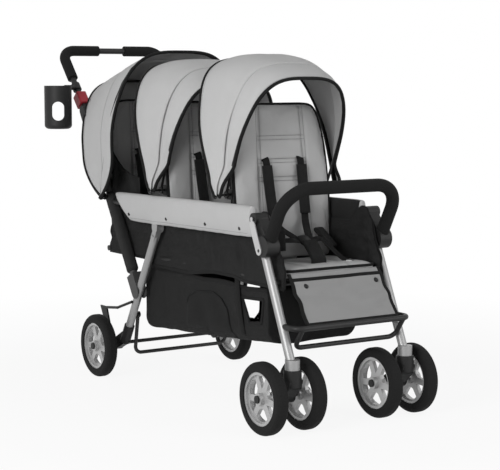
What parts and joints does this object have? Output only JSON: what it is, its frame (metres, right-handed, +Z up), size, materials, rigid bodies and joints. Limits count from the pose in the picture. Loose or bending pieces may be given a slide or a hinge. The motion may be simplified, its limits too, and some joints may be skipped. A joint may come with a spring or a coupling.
{
  "type": "tandem stroller",
  "caption": "Long tandem stroller with padded seats in a row, folding hoods, spoked wheels, swivel front casters, underseat basket and a folding push handle with a cup holder.",
  "frame": {"origin": "on the floor, below the middle of the rear axle", "axes": "+X forward, +Y to the rider's left, +Z up"},
  "size_m": [1.4965, 0.6305, 1.098],
  "materials": {
    "dark_tube": "satin dark grey paint",
    "silver_tube": "satin silver",
    "bright_steel": "zinc plated",
    "black_plastic": "fine grain",
    "black_tube": "satin black powder coat",
    "foam": "closed-cell foam",
    "seat_cloth": "woven, mid grey",
    "hood_cloth": "woven, light grey",
    "black_cloth": "woven, black",
    "red_plastic": "semi gloss",
    "rim": "silver paint",
    "tyre": "solid foam tyre"
  },
  "bodies": {
    "chassis": {"upper_rails": "dark_tube", "rail_sleeves": "hood_cloth", "front_legs": "silver_tube", "front_hubs": "black_plastic", "hub_links": "bright_steel", "front_bar": "foam", "seat_frame": "dark_tube", "seat_back_frames": "dark_tube", "seat_pan_1": "seat_cloth", "seat_pan_2": "seat_cloth", "seat_pan_3": "seat_cloth", "seat_back_1": "seat_cloth", "seat_back_2": "seat_cloth", "seat_back_3": "seat_cloth", "harnesses": "black_cloth", "side_panels": "black_cloth", "calf_panel": "seat_cloth", "footrest": "black_tube", "lower_front_bar": "black_tube", "basket": "black_cloth", "hood_rear_1": "hood_cloth", "hood_rear_2": "hood_cloth", "hood_rear_3": "hood_cloth", "rear_bows": "black_tube", "hood_pivots": "black_plastic", "handle_posts": "black_tube", "rail_brackets": "bright_steel", "hinge_bodies": "black_plastic"},
    "rear_legs": {"rear_leg_tubes": "silver_tube", "rear_axle": "bright_steel", "axle_brackets": "black_plastic"},
    "brake": {"brake_bar": "black_tube"},
    "handle": {"handle_tube": "black_tube", "handle_grips": "foam", "cup_holder": "black_plastic", "cup_clip": "black_plastic"},
    "release_right": {"release_right": "red_plastic"},
    "release_left": {"release_left": "red_plastic"},
    "caster_right": {"caster_fork_right": "black_plastic", "front_axle_right": "bright_steel"},
    "caster_left": {"caster_fork_left": "black_plastic", "front_axle_left": "bright_steel"},
    "wheel_rear_right": {"rim_rear_right": "rim", "tyre_rear_right": "tyre"},
    "wheel_rear_left": {"rim_rear_left": "rim", "tyre_rear_left": "tyre"},
    "wheel_front_right_outer": {"rim_front_right_outer": "rim", "tyre_front_right_outer": "tyre"},
    "wheel_front_right_inner": {"rim_front_right_inner": "rim", "tyre_front_right_inner": "tyre"},
    "wheel_front_left_inner": {"rim_front_left_inner": "rim", "tyre_front_left_inner": "tyre"},
    "wheel_front_left_outer": {"rim_front_left_outer": "rim", "tyre_front_left_outer": "tyre"},
    "hood_1": {"hood_front_1": "hood_cloth", "front_bow_1": "black_tube"},
    "hood_2": {"hood_front_2": "hood_cloth", "front_bow_2": "black_tube"},
    "hood_3": {"hood_front_3": "hood_cloth", "front_bow_3": "black_tube"}
  },
  "joints": [
    {"name": "wheel_rear_right_spin", "type": "hinge", "parent": "rear_legs", "child": "wheel_rear_right", "pos_m": [0, -0.265, 0.1035], "axis": [0, 1, 0], "continuous": true},
    {"name": "wheel_rear_left_spin", "type": "hinge", "parent": "rear_legs", "child": "wheel_rear_left", "pos_m": [0, 0.265, 0.1035], "axis": [0, 1, 0], "continuous": true},
    {"name": "caster_right_swivel", "type": "hinge", "parent": "chassis", "child": "caster_right", "pos_m": [1.028, -0.2, 0.16], "axis": [0, 0, 1], "continuous": true},
    {"name": "wheel_front_right_outer_spin", "type": "hinge", "parent": "caster_right", "child": "wheel_front_right_outer", "pos_m": [0.983, -0.2655, 0.1035], "axis": [0, 1, 0], "continuous": true},
    {"name": "wheel_front_right_inner_spin", "type": "hinge", "parent": "caster_right", "child": "wheel_front_right_inner", "pos_m": [0.983, -0.1345, 0.1035], "axis": [0, 1, 0], "continuous": true},
    {"name": "caster_left_swivel", "type": "hinge", "parent": "chassis", "child": "caster_left", "pos_m": [1.028, 0.2, 0.16], "axis": [0, 0, 1], "continuous": true},
    {"name": "wheel_front_left_outer_spin", "type": "hinge", "parent": "caster_left", "child": "wheel_front_left_outer", "pos_m": [0.983, 0.2655, 0.1035], "axis": [0, 1, 0], "continuous": true},
    {"name": "wheel_front_left_inner_spin", "type": "hinge", "parent": "caster_left", "child": "wheel_front_left_inner", "pos_m": [0.983, 0.1345, 0.1035], "axis": [0, 1, 0], "continuous": true},
    {"name": "rear_leg_fold", "type": "hinge", "parent": "chassis", "child": "rear_legs", "pos_m": [0.276, 0, 0.515], "axis": [0, -1, 0], "range_deg": [0, 60]},
    {"name": "brake_swing", "type": "hinge", "parent": "rear_legs", "child": "brake", "pos_m": [0.10713, 0, 0.214], "axis": [0, -1, 0], "range_deg": [0, 18]},
    {"name": "handle_fold", "type": "hinge", "parent": "chassis", "child": "handle", "pos_m": [-0.212, 0, 0.876], "axis": [0, -1, 0], "range_deg": [0, 90]},
    {"name": "hood_1_fold", "type": "hinge", "parent": "chassis", "child": "hood_1", "pos_m": [0.6554, 0, 0.645], "axis": [0, -1, 0], "range_deg": [0, 28]},
    {"name": "hood_2_fold", "type": "hinge", "parent": "chassis", "child": "hood_2", "pos_m": [0.27175, 0, 0.634], "axis": [0, -1, 0], "range_deg": [0, 28]},
    {"name": "hood_3_fold", "type": "hinge", "parent": "chassis", "child": "hood_3", "pos_m": [-0.03568, 0, 0.595], "axis": [0, -1, 0], "range_deg": [0, 24]},
    {"name": "release_right_slide", "type": "slide", "parent": "handle", "child": "release_right", "axis": [-0.6616, 0, 0.7498], "range_m": [0, 0.01], "stiffness_N_per_m": 400},
    {"name": "release_left_slide", "type": "slide", "parent": "handle", "child": "release_left", "axis": [-0.6616, 0, 0.7498], "range_m": [0, 0.01], "stiffness_N_per_m": 400}
  ]
}
